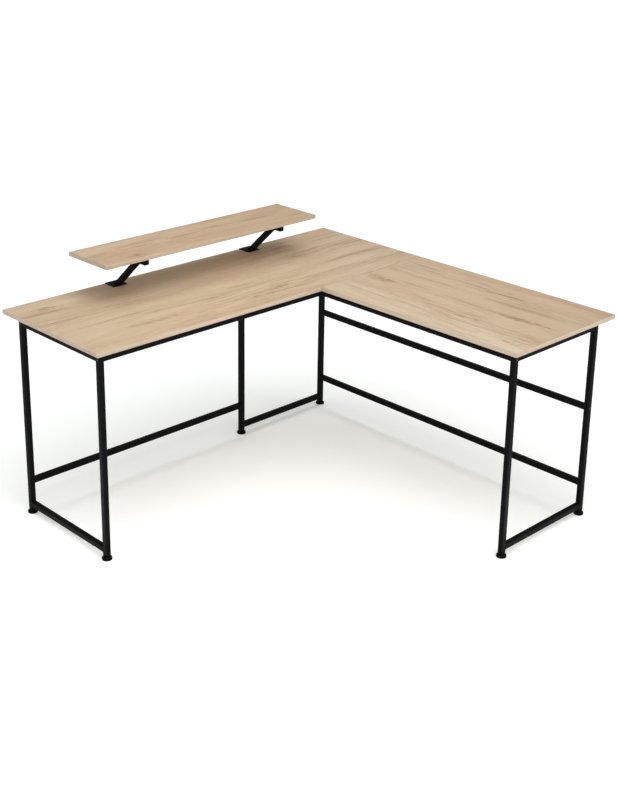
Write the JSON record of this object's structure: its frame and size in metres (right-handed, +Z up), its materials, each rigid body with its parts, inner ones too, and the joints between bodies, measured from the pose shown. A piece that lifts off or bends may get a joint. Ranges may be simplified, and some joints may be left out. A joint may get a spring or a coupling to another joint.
{
  "type": "corner desk",
  "caption": "Corner desk with an oak laminate top in two wings, black square tube legs and stretchers, levelling feet and a raised monitor shelf.",
  "frame": {"origin": "centre of the desk's footprint, on the floor", "axes": "+X along the main wing towards the corner, +Y towards the back edge, +Z up; the sitter is on the -Y side and the return wing runs to -Y at +X"},
  "size_m": [1.56, 1.455, 0.902],
  "materials": {
    "oak_laminate": "matt oak-pattern melamine on chipboard",
    "oak_edging": "satin oak-pattern edge band",
    "black_frame": "fine-textured black powder coat",
    "black_bolt": "black oxide",
    "screw_steel": "bright zinc",
    "block_steel": "bare steel",
    "foot_plastic": "black moulded plastic",
    "cap_plastic": "black moulded plastic",
    "stud_steel": "bright zinc"
  },
  "bodies": {
    "desk": {"arm_caps": "cap_plastic", "bracket_screws": "black_bolt", "corner_frame_foot_rail": "black_frame", "corner_frame_top_rail": "black_frame", "corner_leg": "black_frame", "frame_bolts": "black_bolt", "front_left_leg": "black_frame", "left_bracket_arm": "black_frame", "left_bracket_base": "black_frame", "left_bracket_strut": "black_frame", "left_frame_foot_rail": "black_frame", "left_frame_top_rail": "black_frame", "leg_inserts": "block_steel", "main_front_rail": "black_frame", "main_low_stretcher": "black_frame", "main_rear_rail": "black_frame", "main_top": "oak_laminate", "main_top_edging": "oak_edging", "rail_end_blocks": "block_steel", "rail_screws": "screw_steel", "rear_left_leg": "black_frame", "rear_middle_leg": "black_frame", "return_frame_foot_rail": "black_frame", "return_frame_top_rail": "black_frame", "return_high_stretcher": "black_frame", "return_inner_leg": "black_frame", "return_inner_rail": "black_frame", "return_low_stretcher": "black_frame", "return_outer_leg": "black_frame", "return_outer_rail": "black_frame", "return_top": "oak_laminate", "return_top_edging": "oak_edging", "right_bracket_arm": "black_frame", "right_bracket_base": "black_frame", "right_bracket_strut": "black_frame", "seam_plates": "black_frame", "seam_screws": "screw_steel", "shelf_board": "oak_laminate", "shelf_board_edging": "oak_edging", "shelf_screws": "screw_steel", "splice_block": "block_steel", "splice_bolt": "black_bolt", "splice_plate": "black_frame"},
    "front_left_pad": {"front_left_foot_pad": "foot_plastic"},
    "front_left_stud": {"front_left_foot_stud": "stud_steel"},
    "rear_left_pad": {"rear_left_foot_pad": "foot_plastic"},
    "rear_left_stud": {"rear_left_foot_stud": "stud_steel"},
    "rear_middle_pad": {"rear_middle_foot_pad": "foot_plastic"},
    "rear_middle_stud": {"rear_middle_foot_stud": "stud_steel"},
    "corner_pad": {"corner_foot_pad": "foot_plastic"},
    "corner_stud": {"corner_foot_stud": "stud_steel"},
    "return_inner_pad": {"return_inner_foot_pad": "foot_plastic"},
    "return_inner_stud": {"return_inner_foot_stud": "stud_steel"},
    "return_outer_pad": {"return_outer_foot_pad": "foot_plastic"},
    "return_outer_stud": {"return_outer_foot_stud": "stud_steel"}
  },
  "joints": [
    {"name": "front_left_foot_height", "type": "slide", "parent": "desk", "child": "front_left_pad", "axis": [0, 0, -1], "range_m": [0, 0.01]},
    {"name": "front_left_foot_turn", "type": "hinge", "parent": "front_left_pad", "child": "front_left_stud", "pos_m": [-0.762, 0.1815, 0.0175], "axis": [0, 0, -1], "range_deg": [0, 2880]},
    {"name": "rear_left_foot_height", "type": "slide", "parent": "desk", "child": "rear_left_pad", "axis": [0, 0, -1], "range_m": [0, 0.01]},
    {"name": "rear_left_foot_turn", "type": "hinge", "parent": "rear_left_pad", "child": "rear_left_stud", "pos_m": [-0.762, 0.6315, 0.0175], "axis": [0, 0, -1], "range_deg": [0, 2880]},
    {"name": "rear_middle_foot_height", "type": "slide", "parent": "desk", "child": "rear_middle_pad", "axis": [0, 0, -1], "range_m": [0, 0.01]},
    {"name": "rear_middle_foot_turn", "type": "hinge", "parent": "rear_middle_pad", "child": "rear_middle_stud", "pos_m": [0.234, 0.6315, 0.0175], "axis": [0, 0, -1], "range_deg": [0, 2880]},
    {"name": "corner_foot_height", "type": "slide", "parent": "desk", "child": "corner_pad", "axis": [0, 0, -1], "range_m": [0, 0.01]},
    {"name": "corner_foot_turn", "type": "hinge", "parent": "corner_pad", "child": "corner_stud", "pos_m": [0.684, 0.6315, 0.0175], "axis": [0, 0, -1], "range_deg": [0, 2880]},
    {"name": "return_inner_foot_height", "type": "slide", "parent": "desk", "child": "return_inner_pad", "axis": [0, 0, -1], "range_m": [0, 0.01]},
    {"name": "return_inner_foot_turn", "type": "hinge", "parent": "return_inner_pad", "child": "return_inner_stud", "pos_m": [0.234, -0.7095, 0.0175], "axis": [0, 0, -1], "range_deg": [0, 2880]},
    {"name": "return_outer_foot_height", "type": "slide", "parent": "desk", "child": "return_outer_pad", "axis": [0, 0, -1], "range_m": [0, 0.01]},
    {"name": "return_outer_foot_turn", "type": "hinge", "parent": "return_outer_pad", "child": "return_outer_stud", "pos_m": [0.684, -0.7095, 0.0175], "axis": [0, 0, -1], "range_deg": [0, 2880]}
  ],
  "couplings": [
    {"joint": "front_left_foot_height", "follows": "front_left_foot_turn", "m_per_rad": 0.0001989},
    {"joint": "rear_left_foot_height", "follows": "rear_left_foot_turn", "m_per_rad": 0.0001989},
    {"joint": "rear_middle_foot_height", "follows": "rear_middle_foot_turn", "m_per_rad": 0.0001989},
    {"joint": "corner_foot_height", "follows": "corner_foot_turn", "m_per_rad": 0.0001989},
    {"joint": "return_inner_foot_height", "follows": "return_inner_foot_turn", "m_per_rad": 0.0001989},
    {"joint": "return_outer_foot_height", "follows": "return_outer_foot_turn", "m_per_rad": 0.0001989}
  ]
}
